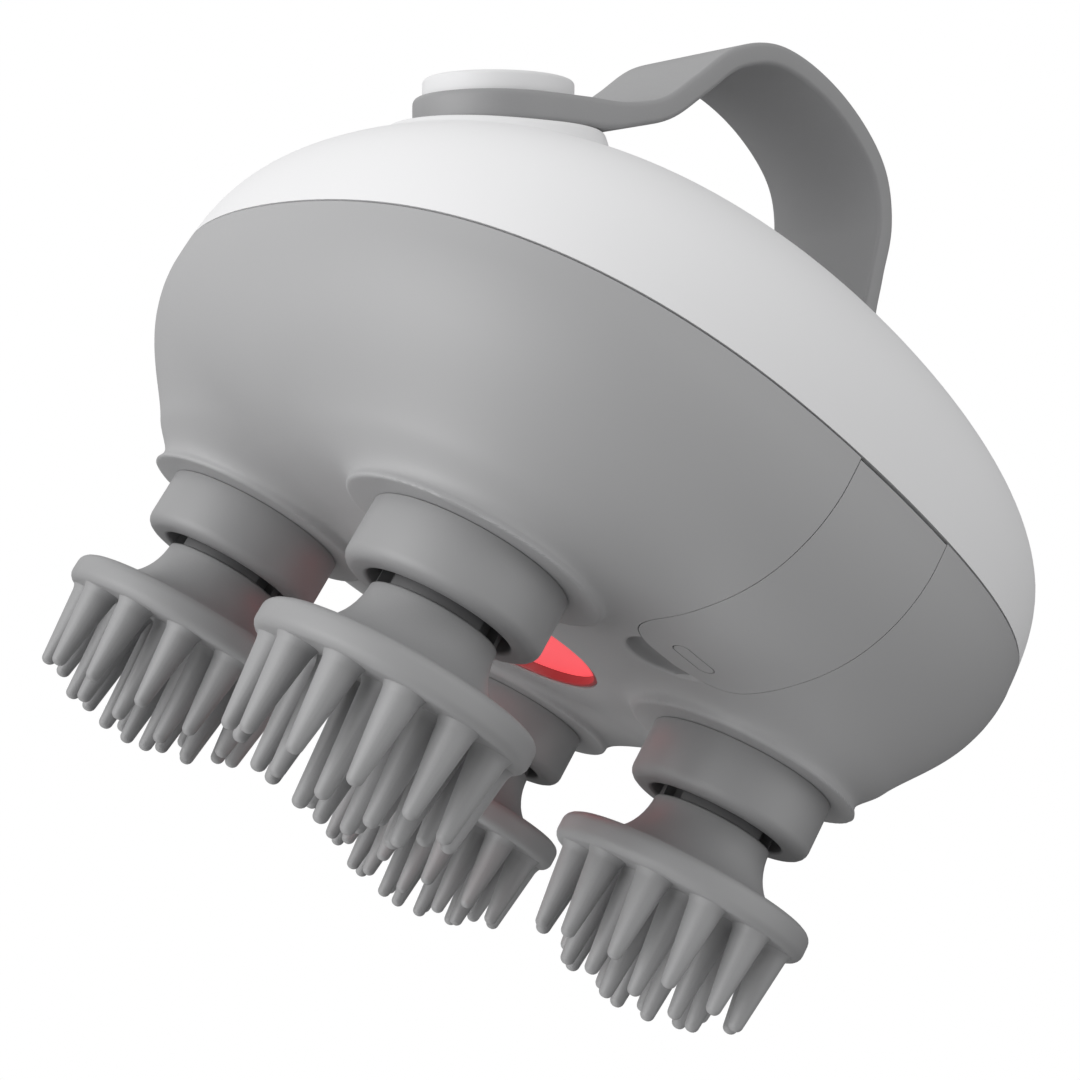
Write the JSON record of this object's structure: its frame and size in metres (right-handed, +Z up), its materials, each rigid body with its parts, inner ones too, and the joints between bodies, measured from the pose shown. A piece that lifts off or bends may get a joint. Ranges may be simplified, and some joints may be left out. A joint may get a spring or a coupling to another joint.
{
  "type": "electric scalp massager",
  "caption": "Domed handheld scalp massager on turning silicone finger heads, with a finger strap, a push button, a red lens and a hinged cover over its charging socket.",
  "frame": {"origin": "on the surface the massager stands on, under the middle of the body", "axes": "+Z up through the top of the dome, +X from the push button to the fixed strap cap, -Y towards the charging socket's cover"},
  "size_m": [0.12, 0.12, 0.1294],
  "materials": {
    "white_shell": "fine satin white ABS",
    "grey_shell": "fine matt grey ABS",
    "strap_silicone": "matt grey silicone",
    "head_silicone": "soft grey silicone",
    "red_lens": "translucent red polycarbonate, lit from behind",
    "acetal": "moulded acetal",
    "steel": "turned and drawn steel",
    "bronze": "sintered bronze",
    "circuit_board": "green solder mask",
    "cell_wrap": "shrink wrap",
    "dark_rubber": "black rubber",
    "hub_plastic": "dark grey nylon"
  },
  "bodies": {
    "housing": {"bottom_shell": "grey_shell", "top_shell": "white_shell", "strap": "strap_silicone", "strap_sleeve": "grey_shell", "switch_board": "circuit_board", "strap_cap": "white_shell", "lens": "red_lens", "led_board": "circuit_board", "usb_socket": "steel", "usb_board": "circuit_board", "drive_axle": "steel", "gear_motor": "steel", "gear_plate": "acetal", "battery": "cell_wrap", "main_board": "circuit_board", "plate_screw_1": "steel", "plate_screw_2": "steel", "plate_screw_3": "steel", "plate_screw_4": "steel", "plate_screw_5": "steel", "plate_screw_6": "steel", "collar_1": "grey_shell", "bushing_1": "bronze", "seal_1": "dark_rubber", "collar_2": "grey_shell", "bushing_2": "bronze", "seal_2": "dark_rubber", "collar_3": "grey_shell", "bushing_3": "bronze", "seal_3": "dark_rubber", "collar_4": "grey_shell", "bushing_4": "bronze", "seal_4": "dark_rubber"},
    "drive": {"drive_gear": "acetal"},
    "motor_drive": {"motor_pinion": "acetal", "motor_shaft": "steel"},
    "head_1": {"massage_head_1": "head_silicone", "head_hub_1": "hub_plastic", "spindle_1": "steel", "head_gear_1": "acetal"},
    "head_2": {"massage_head_2": "head_silicone", "head_hub_2": "hub_plastic", "spindle_2": "steel", "head_gear_2": "acetal"},
    "head_3": {"massage_head_3": "head_silicone", "head_hub_3": "hub_plastic", "spindle_3": "steel", "head_gear_3": "acetal"},
    "head_4": {"massage_head_4": "head_silicone", "head_hub_4": "hub_plastic", "spindle_4": "steel", "head_gear_4": "acetal"},
    "button": {"power_button": "white_shell"},
    "cover": {"port_cover": "grey_shell"}
  },
  "joints": [
    {"name": "drive_gear_spin", "type": "hinge", "parent": "housing", "child": "drive", "pos_m": [0, 0, 0.0477], "axis": [0, 0, 1], "continuous": true},
    {"name": "motor_pinion_spin", "type": "hinge", "parent": "housing", "child": "motor_drive", "pos_m": [0, 0.03189, 0.0477], "axis": [0, 0, 1], "continuous": true},
    {"name": "head_1_spin", "type": "hinge", "parent": "housing", "child": "head_1", "pos_m": [-0.02665, 0.02665, 0.0477], "axis": [0, 0, 1], "continuous": true},
    {"name": "head_2_spin", "type": "hinge", "parent": "housing", "child": "head_2", "pos_m": [-0.02665, -0.02665, 0.0477], "axis": [0, 0, 1], "continuous": true},
    {"name": "head_3_spin", "type": "hinge", "parent": "housing", "child": "head_3", "pos_m": [0.02665, 0.02665, 0.0477], "axis": [0, 0, 1], "continuous": true},
    {"name": "head_4_spin", "type": "hinge", "parent": "housing", "child": "head_4", "pos_m": [0.02665, -0.02665, 0.0477], "axis": [0, 0, 1], "continuous": true},
    {"name": "power_button_press", "type": "slide", "parent": "housing", "child": "button", "axis": [0.5736, 0, -0.8192], "range_m": [0, 0.0007], "stiffness_N_per_m": 1500, "springref_m": -0.0004},
    {"name": "port_cover_hinge", "type": "hinge", "parent": "housing", "child": "cover", "pos_m": [0, -0.05838, 0.06012], "axis": [-1, 0, 0], "range_deg": [0, 75]}
  ],
  "couplings": [
    {"joint": "motor_pinion_spin", "follows": "drive_gear_spin", "ratio": -2.6667},
    {"joint": "head_1_spin", "follows": "drive_gear_spin", "ratio": -1.6},
    {"joint": "head_2_spin", "follows": "drive_gear_spin", "ratio": -1.6},
    {"joint": "head_3_spin", "follows": "drive_gear_spin", "ratio": -1.6},
    {"joint": "head_4_spin", "follows": "drive_gear_spin", "ratio": -1.6}
  ]
}
